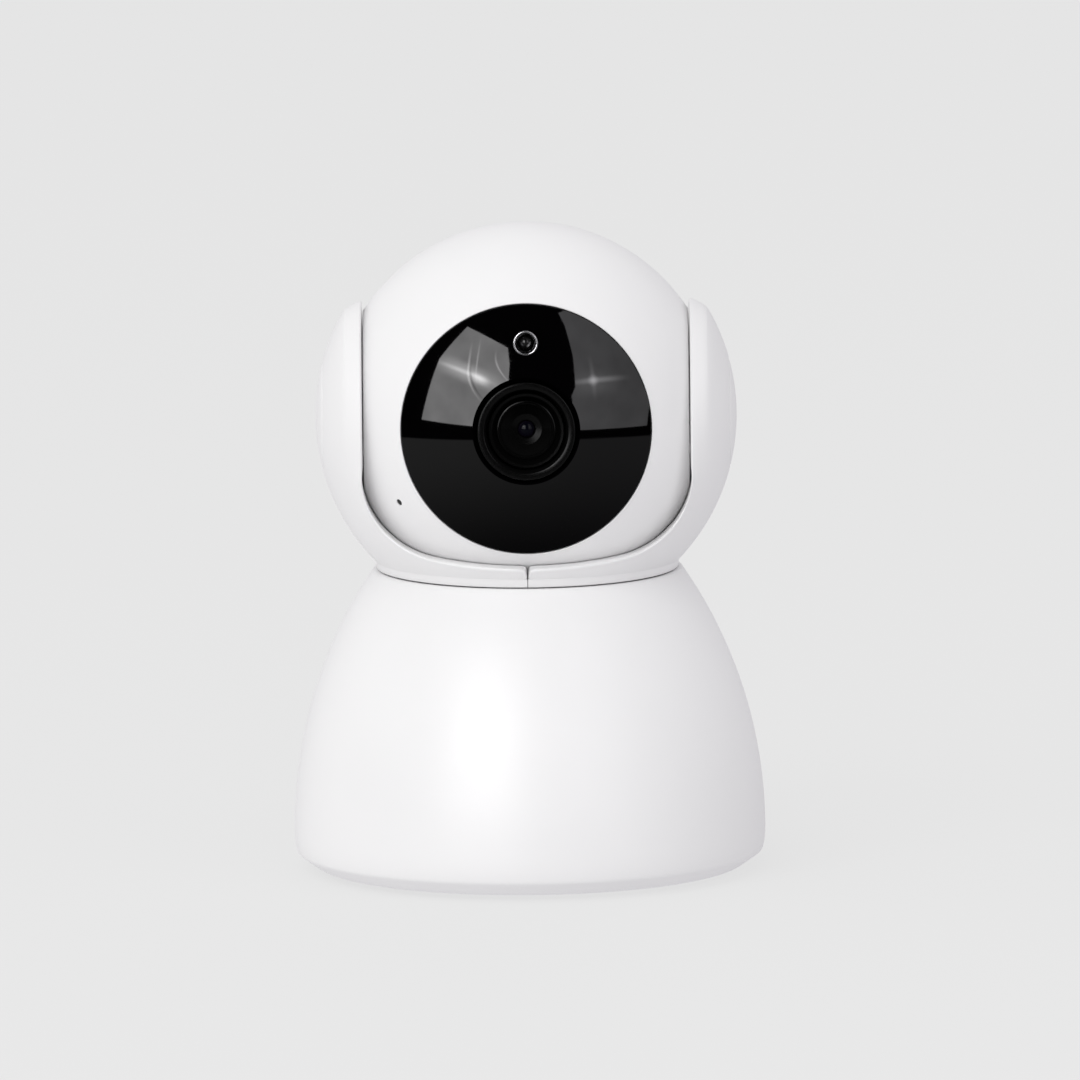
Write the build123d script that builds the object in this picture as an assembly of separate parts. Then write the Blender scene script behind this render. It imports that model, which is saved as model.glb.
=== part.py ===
from build123d import *
import os
from math import asin, cos, degrees, pi, radians, sin, sqrt

os.makedirs("parts", exist_ok=True)

# Pan and tilt security camera: a bell-shaped base, a yoke that turns on it, and a ball head between the ears.
# Millimetres. The origin is the middle of the footprint, +Z is up and the lens looks along -Y.

# Base
base_radius = 40.0
bell_radius = 78.65          # radius of the arc that the bell's wall follows
bell_foot_z = 7.0            # where that arc starts, with a vertical tangent
neck_z = 51.5
wall = 2.2
crease_radius = 39.7
crease_z = 3.4
cover_radius = 34.6
cover_z = 0.8                # the feet lift the cover this far off the table
cover_top_z = 2.8
leg_spread = 28.0
leg_angles = (25, 155, 205, 335)
foot_spread = 27.0
foot_angles = (45, 135, 225, 315)
foot_radius = 4.5
tripod_thread_radius = 3.175  # 1/4 inch tripod thread
insert_radius = 4.5

# Head and yoke share one centre
head_z = 77.7
ball_radius = 32.8
ball_half_width = 27.6       # the ball is flat beyond this on each side
ball_wall = 1.8
shell_split_y = 8.0          # the ball opens here, behind its top
rest_tilt = 2.3              # degrees that the head looks up at rest
yoke_radius = 35.75
bowl_radius = 33.35          # inner face of the yoke round the ball
slot_half_width = 28.2
slot_depth = 22.1            # below the centre
slot_crown_radius = 120.0
slot_corner_radius = 14.0
ear_wall = 1.6
ear_skin = 1.9
collar_radius = 25.65
collar_z = 51.9
side_cap_radius = 9.0

# Face of the head, where d is the distance ahead of the ball's centre
face_radius = 21.4
dome_radius = 48.0
dome_front = 29.9
window_thickness = 2.0
bezel_radius = 8.25
bezel_front = 29.6
barrel_radius = 6.4
sensor_height = 14.8         # the light sensor stands this far above the lens
sensor_ring_radius = 2.1
microphone_at = (-21.6, -21.2, -12.65)

# Pan drive
pan_teeth = 36
pinion_teeth = 10
gear_module = 0.8
gear_z = 37.2
gear_thickness = 3.0
pad_z = gear_z + gear_thickness
spindle_radius = 6.0
spindle_bore = 4.2
deck_z = 34.0
deck_top_z = 36.6
deck_radius = 31.2
shaft_radius = 1.5
running_clearance = 0.05
motor_radius = 10.0
turntable_screw_spread = 10.4
turntable_screw_angles = (0, 120, 240)
speaker_z = 23.5

# Trunnions
pin_radius = 4.0
pin_bore = 2.6
bush_radius = 5.5

# Stacks, as (low, high) heights in the base and (back, front) distances d in the head
board_stack = (8.0, 9.6)
ballast_stack = (2.8, 6.8)
insert_stack = (0.8, 7.4)
pan_can_stack = (19.0, 33.0)
ledge_stack = (20.6, 22.6)
carrier_stack = (20.3, 21.5)
led_board_stack = (17.4, 18.8)
sensor_board_stack = (12.4, 14.0)
barrel_back = 16.2
tilt_can_stack = (10.5, 23.5)    # along X, from the middle of the ball

# Small openings
speaker_hole_radius = 0.7
speaker_hole_pitch = 2.6
socket_window = (8.2, 3.3)       # width and height
card_mouth = (11.0, 1.4)
microphone_hole_radius = 0.5
button_radius = 1.12
button_hole_radius = 1.2

dome_centre = dome_front - dome_radius
pinion_offset = gear_module * (pan_teeth + pinion_teeth) / 2

parts = {}


def rod(radius, low, high, x=0, y=0):
    """Upright cylinder between two heights."""
    return Pos(x, y, (low + high) / 2) * Cylinder(radius, high - low)


def tube(outer, inner, low, high, x=0, y=0):
    return rod(outer, low, high, x, y) - rod(inner, low - 1, high + 1, x, y)


def block(x_range, y_range, z_range):
    size = [high - low for low, high in (x_range, y_range, z_range)]
    middle = [(high + low) / 2 for low, high in (x_range, y_range, z_range)]
    return Pos(*middle) * Box(*size)


def turned(outline):
    """Solid of revolution from edges drawn as (radius, height)."""
    face = Plane.XZ * make_face(outline)
    return revolve(face, axis=Axis.Z)


def forward(part):
    """Turns an upright part to point out of the face, along -Y."""
    return Rot(90, 0, 0) * part


def sideways(part):
    """Turns an upright part to point along +X."""
    return Rot(0, 90, 0) * part


def at_head(part):
    """Moves a part from the head's own frame to its place, with its rest tilt."""
    return Pos(0, 0, head_z) * Rot(-rest_tilt, 0, 0) * part


def at_yoke(part):
    return Pos(0, 0, head_z) * part


def outward(direction):
    """Placement whose Z axis points from the ball's centre in a direction."""
    plane = Plane(origin=(0, 0, 0), x_dir=(1, 0, 0.001), z_dir=direction)
    return plane.location


def ring_places(spread, angles):
    return [(spread * cos(radians(a)), spread * sin(radians(a))) for a in angles]


def group(pieces):
    """One node of separate solids."""
    return Compound(children=[piece.solid() for piece in pieces])


# ---- Base ----

def bell_arc(offset, low, high):
    """Arc of the bell's wall, moved inwards, between two heights."""
    radius = bell_radius - offset
    start = degrees(asin((low - bell_foot_z) / radius))
    stop = degrees(asin((high - bell_foot_z) / radius))
    return CenterArc((base_radius - bell_radius, bell_foot_z), radius, start, stop - start)


def base_shell():
    bottom_r = cover_radius + 0.2
    lip_r = 24.9
    ledge_r = 28.5
    ledge_low = deck_top_z + 0.1
    ledge_high = ledge_low + 2.0
    under_neck_z = neck_z - 2.0
    outer = bell_arc(0, bell_foot_z, neck_z)
    low_inner = bell_arc(wall, bell_foot_z, ledge_low)
    high_inner = bell_arc(wall, ledge_high, under_neck_z)
    outline = [
        outer,
        Line(outer @ 1, (lip_r, neck_z)),
        Line((lip_r, neck_z), (lip_r - 0.2, under_neck_z)),
        Line((lip_r - 0.2, under_neck_z), high_inner @ 1),
        high_inner,
        Line(high_inner @ 0, (ledge_r, ledge_high)),
        Line((ledge_r, ledge_high), (ledge_r, ledge_low)),
        Line((ledge_r, ledge_low), low_inner @ 1),
        low_inner,
        Line(low_inner @ 0, (bottom_r, 4.2)),
        Line((bottom_r, 4.2), (bottom_r, cover_z)),
        ThreePointArc((bottom_r, cover_z), (38.3, 1.7), (crease_radius, crease_z)),
        ThreePointArc((crease_radius, crease_z), (39.93, 5.2), outer @ 0),
    ]
    shell = turned(Curve() + outline)
    half_window = socket_window[0] / 2
    window_low = board_stack[1] - 0.3
    shell -= block((-half_window, half_window), (30, 45), (window_low, window_low + socket_window[1]))
    return shell - speaker_holes()


def speaker_holes():
    holes = []
    for ring, count in ((0, 1), (1, 6), (2, 12)):
        for i in range(count):
            angle = 2 * pi * i / count
            x = ring * speaker_hole_pitch * cos(angle)
            z = speaker_z + ring * speaker_hole_pitch * sin(angle)
            holes.append(Pos(x, 38, z) * Rot(90, 0, 0) * Cylinder(speaker_hole_radius, 12))
    return holes


def base_cover():
    cover = rod(cover_radius, cover_z, cover_top_z)
    cover += tube(33.0, 31.6, cover_top_z, 5.0)
    for x, y in board_posts:
        cover += rod(1.6, cover_top_z, board_stack[0], x, y)
    for x, y in ring_places(foot_spread, foot_angles):
        cover -= rod(foot_radius + 0.1, cover_z - 1, cover_z + 0.8, x, y)
    for x, y in ring_places(leg_spread, leg_angles):
        cover -= rod(1.4, 0, cover_top_z + 1, x, y)
        cover -= rod(2.7, cover_z - 1, cover_z + 1.0, x, y)
    return cover - rod(insert_radius, 0, cover_top_z + 1)


board_posts = [(sx * 12, y) for sx in (-1, 1) for y in (-17, 29)]


def rubber_feet():
    feet = []
    for x, y in ring_places(foot_spread, foot_angles):
        foot = rod(foot_radius, 0, cover_z + 0.8, x, y)
        feet.append(fillet(foot.edges().sort_by(Axis.Z)[0], 0.3))
    return group(feet)


def screw(head_radius, head_height, shank_radius, length):
    """Pan-head screw, head at the bottom, with a cross recess."""
    body = rod(head_radius, 0, head_height) + rod(shank_radius, head_height, head_height + length)
    cross = block((-1.1, 1.1), (-0.25, 0.25), (-1, 0.5)) + block((-0.25, 0.25), (-1.1, 1.1), (-1, 0.5))
    return body - cross


def cover_screws():
    one = screw(2.4, 0.9, 1.25, 9.0)
    return group([Pos(x, y, cover_z + 0.1) * one for x, y in ring_places(leg_spread, leg_angles)])


def tripod_insert():
    return tube(insert_radius, tripod_thread_radius, *insert_stack)


def ballast_plate():
    return tube(18.5, insert_radius + 0.4, *ballast_stack)


def pan_deck():
    deck = rod(deck_radius, deck_z, deck_top_z)
    for x, y in ring_places(leg_spread, leg_angles):
        deck += rod(3.0, cover_top_z, deck_z, x, y)
        deck -= rod(1.3, 0, 14, x, y)
    deck -= rod(spindle_radius + running_clearance, 0, 50)
    deck -= rod(3.6, 30, 50, 0, -pinion_offset)
    for x in (-14, 14):
        deck -= rod(1.1, 30, 50, x, -pinion_offset)
    return deck


def thrust_washer():
    return tube(8.5, spindle_radius + 0.2, deck_top_z, deck_top_z + 0.5)


def pan_motor():
    can = fillet(rod(motor_radius, *pan_can_stack).edges(), 0.8)
    plate_z = (pan_can_stack[1], deck_z)
    plate = block((-14, 14), (-3.4 - pinion_offset, 3.4 - pinion_offset), plate_z)
    for x in (-14, 14):
        plate += rod(3.4, *plate_z, x, -pinion_offset)
    motor = Pos(0, -pinion_offset, 0) * can + plate + rod(3.4, deck_z, deck_top_z, 0, -pinion_offset)
    for x in (-14, 14):
        motor -= rod(1.1, 30, 40, x, -pinion_offset)
    return motor - rod(shaft_radius + running_clearance, 26, 50, 0, -pinion_offset)


def motor_screws():
    one = Pos(0, 0, pan_can_stack[1] - 0.9) * screw(1.9, 0.9, 1.0, 3.4)
    return group([Pos(x, -pinion_offset, 0) * one for x in (-14, 14)])


def main_board():
    return block((-15, 15), (-20, 33.5), board_stack) - rod(insert_radius + 0.4, 5, 12)


def board_chips():
    top = board_stack[1]
    return group([
        block((-6, 4), (10, 20), (top, top + 1.2)),
        block((-13, -3), (-16, -6), (top, top + 2.0)),
        block((5, 12), (-14, -8), (top, top + 1.3)),
        block((8, 13), (12, 22), (top, top + 1.4)),
    ])


def power_socket():
    low = board_stack[1]
    socket = block((-3.8, 3.8), (32.2, 39.3), (low, low + 2.7))
    socket -= block((-3.4, 3.4), (33.6, 40), (low + 0.4, low + 2.3))
    return socket + block((-1.9, 1.9), (33.0, 38.4), (low + 1.4, low + 1.9))


def speaker():
    basket = rod(10.0, 26.5, 30.5) + rod(6.5, 22.5, 26.5)
    basket -= turned(Curve() + [
        Line((0, 28.2), (8.6, 30.0)),
        Line((8.6, 30.0), (8.6, 31.5)),
        Line((8.6, 31.5), (0, 31.5)),
        Line((0, 31.5), (0, 28.2)),
    ])
    return Pos(0, 0, speaker_z) * Rot(-90, 0, 0) * basket


def wifi_antenna():
    inner = bell_arc(wall + 0.4, 13, 22)
    outer = bell_arc(wall + 0.1, 13, 22)
    outline = [inner, outer, Line(inner @ 0, outer @ 0), Line(inner @ 1, outer @ 1)]
    face = Plane.XZ * make_face(Curve() + outline)
    strip = revolve(face, axis=Axis.Z, revolution_arc=44)
    return Rot(0, 0, -22) * strip


# ---- Pan drive ----

def gear_outline(teeth):
    """Straight-flanked teeth, slim enough to run with backlash."""
    pitch_r = gear_module * teeth / 2
    tip_r = pitch_r + 0.85 * gear_module
    root_r = pitch_r - 1.2 * gear_module
    step = 2 * pi / teeth
    points = []
    for i in range(teeth):
        for r, share in ((root_r, -0.33), (tip_r, -0.11), (tip_r, 0.11), (root_r, 0.33)):
            angle = (i + share) * step
            points.append((r * cos(angle), r * sin(angle)))
    return make_face(Polyline(*points, close=True))


def pan_gear():
    gear = extrude(gear_outline(pan_teeth), amount=gear_thickness)
    gear = Pos(0, 0, gear_z) * gear
    gear += rod(spindle_radius, 31, gear_z)
    gear -= rod(spindle_bore, 30, 45)
    gear -= tube(8, 5.2, 33.0, 33.8)
    for x, y in ring_places(turntable_screw_spread, turntable_screw_angles):
        gear -= rod(1.2, 30, 45, x, y)
        gear -= rod(2.1, gear_z - 1, gear_z + 1.2, x, y)
    return gear


def spindle_clip():
    clip = tube(8.0, 5.25, 33.1, 33.7)
    return clip - block((-4.2, 4.2), (0, 9), (33, 34))


def turntable_screws():
    one = screw(1.9, 0.9, 1.1, 4.2)
    places = ring_places(turntable_screw_spread, turntable_screw_angles)
    return group([Pos(x, y, gear_z + 0.2) * one for x, y in places])


def pan_pinion():
    half_tooth = 180 / pinion_teeth
    gear = extrude(gear_outline(pinion_teeth), amount=gear_thickness)
    gear = Rot(0, 0, 90 + half_tooth) * gear
    pinion = Pos(0, 0, gear_z) * gear + rod(shaft_radius, 26.5, gear_z)
    return Pos(0, -pinion_offset, 0) * pinion


# ---- Yoke ----

def slot_prism():
    """The opening that the ball sits in, cut through the yoke from front to back."""
    top = 50
    w = slot_half_width
    corner_z = -slot_depth + slot_crown_radius - sqrt(slot_crown_radius ** 2 - w ** 2)
    outline = [
        ThreePointArc((-w, corner_z), (0, -slot_depth), (w, corner_z)),
        Line((w, corner_z), (w, top)),
        Line((w, top), (-w, top)),
        Line((-w, top), (-w, corner_z)),
    ]
    face = make_face(Curve() + outline)
    corners = face.vertices().sort_by(Axis.Y)[:2]
    face = fillet(corners, slot_corner_radius)
    return extrude(Plane.XZ * face, amount=60, both=True)


def to_side(part, side):
    return part if side > 0 else mirror(part, about=Plane.YZ)


def yoke_ear_and_bowl():
    """Right half of the hollow ball, closed by the ear's flat inner wall."""
    gap = 0.05
    outer_from = degrees(asin(gap / yoke_radius))
    inner_from = degrees(asin(gap / bowl_radius))
    inner_to = degrees(asin(slot_half_width / bowl_radius))
    outer = CenterArc((0, 0), yoke_radius, outer_from, 90 - outer_from)
    inner = CenterArc((0, 0), bowl_radius, inner_from, inner_to - inner_from)
    half = turned(Curve() + [
        outer,
        Line(outer @ 1, (0, slot_half_width)),
        Line((0, slot_half_width), inner @ 1),
        inner,
        Line(inner @ 0, outer @ 0),
    ])
    cavity_radius = yoke_radius - ear_skin
    cavity_floor = slot_half_width + ear_wall
    cavity_from = degrees(asin(cavity_floor / cavity_radius))
    roof = CenterArc((0, 0), cavity_radius, cavity_from, 90 - cavity_from)
    half -= turned(Curve() + [
        roof,
        Line(roof @ 1, (0, cavity_floor)),
        Line((0, cavity_floor), roof @ 0),
    ])
    return sideways(half)


def ear_hub(bore):
    """Seat of the side cap, carried on ribs, with the bore that holds the trunnion."""
    low = slot_half_width + 0.5
    seat_x = 33.0
    hub = sideways(rod(6.0, low, seat_x) + tube(10.6, 7.4, 31.4, seat_x) + tube(10.6, 9.1, 31.4, 34.0))
    hub += block((low, 32.0), (-10.0, 10.0), (-0.8, 0.8))
    hub += block((low, 32.0), (-0.8, 0.8), (-10.0, 10.0))
    return hub - sideways(rod(bore, 20, 40))


def yoke_half(side):
    bore = pin_radius if side < 0 else shaft_radius + 0.02
    half = yoke_ear_and_bowl() + ear_hub(bore)
    half -= sideways(rod(side_cap_radius + 0.1, 33.0, 40))
    half -= sideways(rod(bore, 20, 40))
    half = at_yoke(to_side(half, side))
    inner = 0.05
    room = block((inner, 40), (-40, 40), (30, 60))
    pad = tube(collar_radius, 23.4, collar_z, collar_z + 1.5) + rod(13.0, pad_z, 43.6)
    half += pad & to_side(room, side)
    half -= at_yoke(slot_prism())
    half -= rod(spindle_bore, 30, 48)
    for x, y in ring_places(turntable_screw_spread, turntable_screw_angles):
        if x * side > 0:
            half -= rod(1.12, 30, 42.6, x, y)
    return half


def side_cap(side):
    low = 33.1
    rim = degrees(asin(sqrt(yoke_radius ** 2 - side_cap_radius ** 2) / yoke_radius))
    crown = CenterArc((0, 0), yoke_radius, rim, 90 - rim)
    cap = turned(Curve() + [
        crown,
        Line(crown @ 1, (0, low)),
        Line((0, low), (side_cap_radius, low)),
        Line((side_cap_radius, low), crown @ 0),
    ])
    return at_yoke(to_side(sideways(cap), side))


def trunnion_pin():
    return at_yoke(Rot(0, 0, 180) * sideways(tube(pin_radius, pin_bore, 24.0, 33.0)))


def tilt_shaft():
    return at_yoke(sideways(rod(shaft_radius, 16.5, 33.0)))


# ---- Head ----

def flat_sided_ball(radius, half_width):
    reach = degrees(asin(half_width / radius))
    belt = CenterArc((0, 0), radius, -reach, 2 * reach)
    return sideways(turned(Curve() + [
        belt,
        Line(belt @ 1, (0, half_width)),
        Line((0, half_width), (0, -half_width)),
        Line((0, -half_width), belt @ 0),
    ]))


def ball_solid():
    return flat_sided_ball(ball_radius, ball_half_width)


def ball_hollow():
    return flat_sided_ball(ball_radius - ball_wall, ball_half_width - ball_wall)


def head_screw_places():
    return [(sx * 20.0, sz * 19.0) for sx in (-1, 1) for sz in (-1, 1)]


slot_angle = 60.0            # the card slot's angle below the horizon of the ball
slot_direction = (0, -cos(radians(slot_angle)), -sin(radians(slot_angle)))
button_reach = 0.34          # sine of the button's angle to the right of the slot's middle
button_direction = (
    button_reach,
    -sqrt(1 - button_reach ** 2) * cos(radians(slot_angle)),
    -sqrt(1 - button_reach ** 2) * sin(radians(slot_angle)),
)


def head_front_shell():
    shell = ball_solid() - ball_hollow()
    shell += forward(tube(23.4, 19.8, *ledge_stack)) & ball_solid()
    shell -= forward(rod(face_radius + 0.1, ledge_stack[1], 45))
    shell &= block((-40, 40), (-40, shell_split_y), (-40, 40))
    for x, z in head_screw_places():
        post = Pos(x, 0, z) * Rot(-90, 0, 0) * tube(2.8, 1.1, -6, shell_split_y)
        shell += post & ball_solid()
    shell -= sideways(rod(3.6, 20, 30))
    shell -= sideways(rod(bush_radius, -30, -20))
    shell -= outward(microphone_at) * rod(microphone_hole_radius, 25, 40)
    mouth = Pos(-0.5, 0, 32) * Box(card_mouth[0], card_mouth[1], 14)
    shell -= outward(slot_direction) * mouth
    shell -= outward(button_direction) * rod(button_hole_radius, 25, 40)
    return at_head(shell)


def head_rear_shell():
    shell = ball_solid() - ball_hollow()
    for x, z in head_screw_places():
        shell += (Pos(x, 0, z) * Rot(-90, 0, 0) * rod(3.4, shell_split_y, 30)) & ball_solid()
    shell &= block((-40, 40), (shell_split_y + 0.1, 40), (-40, 40))
    for x, z in head_screw_places():
        shell -= Pos(x, 0, z) * Rot(-90, 0, 0) * rod(1.3, 0, 40)
        shell -= Pos(x, 0, z) * Rot(-90, 0, 0) * rod(2.4, shell_split_y + 3.0, 40)
    return at_head(shell)


def head_screws():
    one = Pos(0, shell_split_y + 4.0, 0) * Rot(90, 0, 0) * screw(2.2, 1.0, 1.0, 10.0)
    return group([at_head(Pos(x, 0, z) * one) for x, z in head_screw_places()])


def dome_d(radius, r):
    return dome_centre + sqrt(radius ** 2 - r ** 2)


def face_window():
    inner_radius = dome_radius - window_thickness
    hole_r = bezel_radius + 0.1
    front = ThreePointArc(
        (hole_r, dome_d(dome_radius, hole_r)),
        (15, dome_d(dome_radius, 15)),
        (face_radius, dome_d(dome_radius, face_radius)),
    )
    back = ThreePointArc(
        (hole_r, dome_d(inner_radius, hole_r)),
        (15, dome_d(inner_radius, 15)),
        (face_radius, dome_d(inner_radius, face_radius)),
    )
    window = turned(Curve() + [front, back, Line(front @ 0, back @ 0), Line(front @ 1, back @ 1)])
    window -= rod(sensor_ring_radius + 0.05, 15, 40, 0, sensor_height)
    return at_head(forward(window))


led_angles = [90 + 40 * i for i in range(1, 9)]
led_spread = 14.0


def face_carrier():
    carrier = tube(19.6, bezel_radius + 0.55, *carrier_stack)
    for x, y in ring_places(led_spread, led_angles):
        carrier -= rod(1.8, 15, 30, x, y)
    carrier -= rod(2.3, 15, 30, 0, sensor_height)
    return at_head(forward(carrier))


def led_board():
    return at_head(forward(tube(19.2, bezel_radius + 0.55, *led_board_stack)))


def infrared_leds():
    leds = []
    for x, y in ring_places(led_spread, led_angles):
        led = rod(1.5, led_board_stack[1], 21.6, x, y) + Pos(x, y, 21.6) * Sphere(1.5)
        leds.append(at_head(forward(led)))
    return group(leds)


def sensor_ring():
    ring = tube(sensor_ring_radius, 1.45, 25.0, 28.3, 0, sensor_height)
    ring = fillet(ring.edges().sort_by(Axis.Z)[-2:], 0.25)
    return at_head(forward(ring))


def light_sensor():
    body = rod(1.35, led_board_stack[1], 26.0, 0, sensor_height)
    body += Pos(0, sensor_height, 26.0) * Sphere(1.35)
    return at_head(forward(body))


def lens_bezel():
    ring = tube(bezel_radius, barrel_radius + 0.2, 23.5, bezel_front)
    ring = fillet(ring.edges().sort_by(Axis.Z)[-2:], 0.55)
    ring -= turned(Curve() + [
        Line((6.0, 28.2), (7.3, bezel_front)),
        Line((7.3, bezel_front), (6.0, bezel_front + 1)),
        Line((6.0, bezel_front + 1), (6.0, 28.2)),
    ])
    return at_head(forward(ring))


def lens_barrel():
    outline = Polyline(
        (1.7, barrel_back), (1.7, 24.2), (2.4, 25.4), (4.3, 27.0), (4.4, 27.5), (4.7, 27.5),
        (4.8, 27.2), (5.8, 28.2), (barrel_radius, 28.4), (barrel_radius, 25.5),
        (6.0, 25.5), (6.0, barrel_back), close=True,
    )
    return at_head(forward(turned(outline)))


def lens_front_glass():
    rim = 2.35
    front = ThreePointArc((0, 25.9), (1.3, 25.7), (rim - 0.2, 25.0))
    outline = [
        front,
        Line(front @ 1, (1.65, 24.25)),
        Line((1.65, 24.25), (1.65, 23.6)),
        Line((1.65, 23.6), (0, 23.6)),
        Line((0, 23.6), (0, 25.9)),
    ]
    return at_head(forward(turned(Curve() + outline)))


def lens_holder():
    holder = block((-7.5, 7.5), (-7.5, 7.5), (sensor_board_stack[1], 16.0)) + rod(7.6, 16.0, 20.5)
    holder -= rod(6.05, 16.0, 25)
    holder -= block((-5, 5), (-5, 5), (13, 16.0))
    return at_head(forward(holder))


def image_sensor():
    back = sensor_board_stack[1]
    return at_head(forward(block((-3.2, 3.2), (-2.6, 2.6), (back, back + 0.9))))


def sensor_board():
    return at_head(forward(block((-15, 15), (-12.5, 12.5), sensor_board_stack)))


def microphone():
    return at_head(outward(microphone_at) * rod(1.5, 28.2, 30.0))


def tilt_motor():
    motor = fillet(rod(motor_radius, *tilt_can_stack).edges(), 0.8)
    motor += rod(7.0, tilt_can_stack[1] - 0.1, 25.6) + rod(3.4, 25.6, 27.2)
    motor -= rod(shaft_radius + running_clearance, 16.0, 30)
    return at_head(sideways(motor))


def trunnion_bush():
    bush = tube(bush_radius, pin_radius + running_clearance, 25.8, 27.6)
    bush += tube(7.0, pin_radius + running_clearance, 24.8, 25.8)
    return at_head(Rot(0, 0, 180) * sideways(bush))


def card_board():
    board = block((-8.5, 5.8), (-2.2, -1.2), (15.5, 29.0)) + block((5.8, 11.0), (-2.2, -1.2), (15.5, 22.5))
    return at_head(outward(slot_direction) * board)


def card_reader():
    reader = block((-6.6, 5.6), (-1.2, 1.2), (16.0, 29.6))
    reader -= block((-6.0, 5.0), (-0.6, 0.6), (17.5, 30))
    return at_head(outward(slot_direction) * reader)


def reset_switch():
    return at_head(outward(button_direction) * block((-1.9, 1.9), (-1.9, 1.9), (25.2, 28.0)))


def reset_button():
    button = rod(button_radius, 28.6, ball_radius - 0.25)
    button += rod(1.8, 28.6, 29.4)
    return at_head(outward(button_direction) * button)


makers = [
    base_shell, base_cover, rubber_feet, cover_screws, tripod_insert, ballast_plate, pan_deck,
    thrust_washer, pan_motor, motor_screws, main_board, board_chips, power_socket, speaker,
    wifi_antenna, pan_gear, spindle_clip, turntable_screws, pan_pinion, trunnion_pin, tilt_shaft,
    head_front_shell, head_rear_shell, head_screws, face_window, face_carrier, led_board,
    infrared_leds, sensor_ring, light_sensor, lens_bezel, lens_barrel, lens_front_glass,
    lens_holder, image_sensor, sensor_board, microphone, tilt_motor, trunnion_bush, card_board,
    card_reader, reset_switch, reset_button,
]
for make in makers:
    parts[make.__name__] = make()
for side, name in ((-1, "left"), (1, "right")):
    parts["yoke_" + name] = yoke_half(side)
    parts["side_cap_" + name] = side_cap(side)

for name, part in parts.items():
    export_step(part, f"parts/{name}.step")
    print(name, round(part.volume, 1))
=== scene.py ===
import bmesh
import bpy
from math import acos, asin, atan2, cos, degrees, hypot, pi, radians, sin, sqrt
from mathutils import Matrix, Vector


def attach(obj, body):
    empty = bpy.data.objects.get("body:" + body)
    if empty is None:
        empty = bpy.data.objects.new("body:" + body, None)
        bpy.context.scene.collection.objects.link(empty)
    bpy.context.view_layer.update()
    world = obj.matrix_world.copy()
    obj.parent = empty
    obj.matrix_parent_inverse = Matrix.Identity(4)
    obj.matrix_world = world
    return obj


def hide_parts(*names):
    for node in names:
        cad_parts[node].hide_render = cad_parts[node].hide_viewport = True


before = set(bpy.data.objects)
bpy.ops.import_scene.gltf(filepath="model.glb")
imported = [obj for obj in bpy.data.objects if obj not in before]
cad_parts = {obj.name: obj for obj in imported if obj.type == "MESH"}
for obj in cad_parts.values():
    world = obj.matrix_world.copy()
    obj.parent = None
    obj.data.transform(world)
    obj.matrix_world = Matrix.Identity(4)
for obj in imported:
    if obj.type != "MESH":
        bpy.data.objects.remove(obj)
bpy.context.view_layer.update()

mm = 0.001

# The head and the yoke turn about one centre, and the head looks up a little at rest.
centreZ = 77.7          # millimetres above the table
restTilt = radians(2.3)
headCentre = Vector((0, 0, centreZ * mm))
headPlace = Matrix.Translation(headCentre) @ Matrix.Rotation(-restTilt, 4, "X")
yokePlace = Matrix.Translation(headCentre)


class Wire:
    # one socket; sums on it add Math nodes
    def __init__(self, tree, socket):
        self.tree = tree
        self.socket = socket

    def math(self, operation, *others):
        values = {0: self}
        for index, other in enumerate(others):
            values[index + 1] = other
        return self.tree.make("ShaderNodeMath", {"operation": operation}, values)

    def __add__(self, other):
        return self.math("ADD", other)

    def __radd__(self, other):
        return self.math("ADD", other)

    def __sub__(self, other):
        return self.math("SUBTRACT", other)

    def __rsub__(self, other):
        return self.tree.make("ShaderNodeMath", {"operation": "SUBTRACT"}, {0: other, 1: self})

    def __mul__(self, other):
        return self.math("MULTIPLY", other)

    def __rmul__(self, other):
        return self.math("MULTIPLY", other)

    def power(self, other):
        return self.math("POWER", other)

    def smooth(self, low, high):
        # 0 below low, 1 above high, eased between
        settings = {"interpolation_type": "SMOOTHSTEP"}
        values = {"Value": self, "From Min": low, "From Max": high}
        return self.tree.make("ShaderNodeMapRange", settings, values)


class Finish:
    # one material and its nodes
    def __init__(self, name, world=None):
        self.material = world or bpy.data.materials.new(name)
        self.material.use_nodes = True
        self.nodes = self.material.node_tree.nodes
        self.links = self.material.node_tree.links
        self.shader = self.nodes["Background" if world else "Principled BSDF"]

    def make(self, kind, settings=None, values=None, output=0):
        node = self.nodes.new(kind)
        for key, value in (settings or {}).items():
            setattr(node, key, value)
        for key, value in (values or {}).items():
            if isinstance(value, Wire):
                self.links.new(value.socket, node.inputs[key])
            else:
                node.inputs[key].default_value = value
        return Wire(self, node.outputs[output])

    def place(self, **changes):
        spot = self.make("ShaderNodeTexCoord", output="Object")
        return self.make("ShaderNodeMapping", {}, {"Vector": spot, **changes})

    def noise(self, scale, detail=3, rough=0.5, at=None):
        values = {"Vector": at or self.place(), "Scale": scale, "Detail": detail, "Roughness": rough}
        return self.make("ShaderNodeTexNoise", {}, values)

    def blendColours(self, amount, first, second):
        values = {"Factor": amount, 6: first, 7: second}
        return self.make("ShaderNodeMix", {"data_type": "RGBA"}, values, output=2)

    def bump(self, height, strength, distance):
        values = {"Height": height, "Strength": strength, "Distance": distance}
        return self.make("ShaderNodeBump", {}, values)

    def set(self, **values):
        for key, value in values.items():
            name = key.replace("_", " ")
            if isinstance(value, Wire):
                self.links.new(value.socket, self.shader.inputs[name])
            else:
                self.shader.inputs[name].default_value = value
        return self.material


def grey(level, tint=(1, 1, 1)):
    return (level * tint[0], level * tint[1], level * tint[2], 1)


def shade(colour, amount):
    return tuple(c * amount for c in colour[:3]) + (1,)


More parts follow.
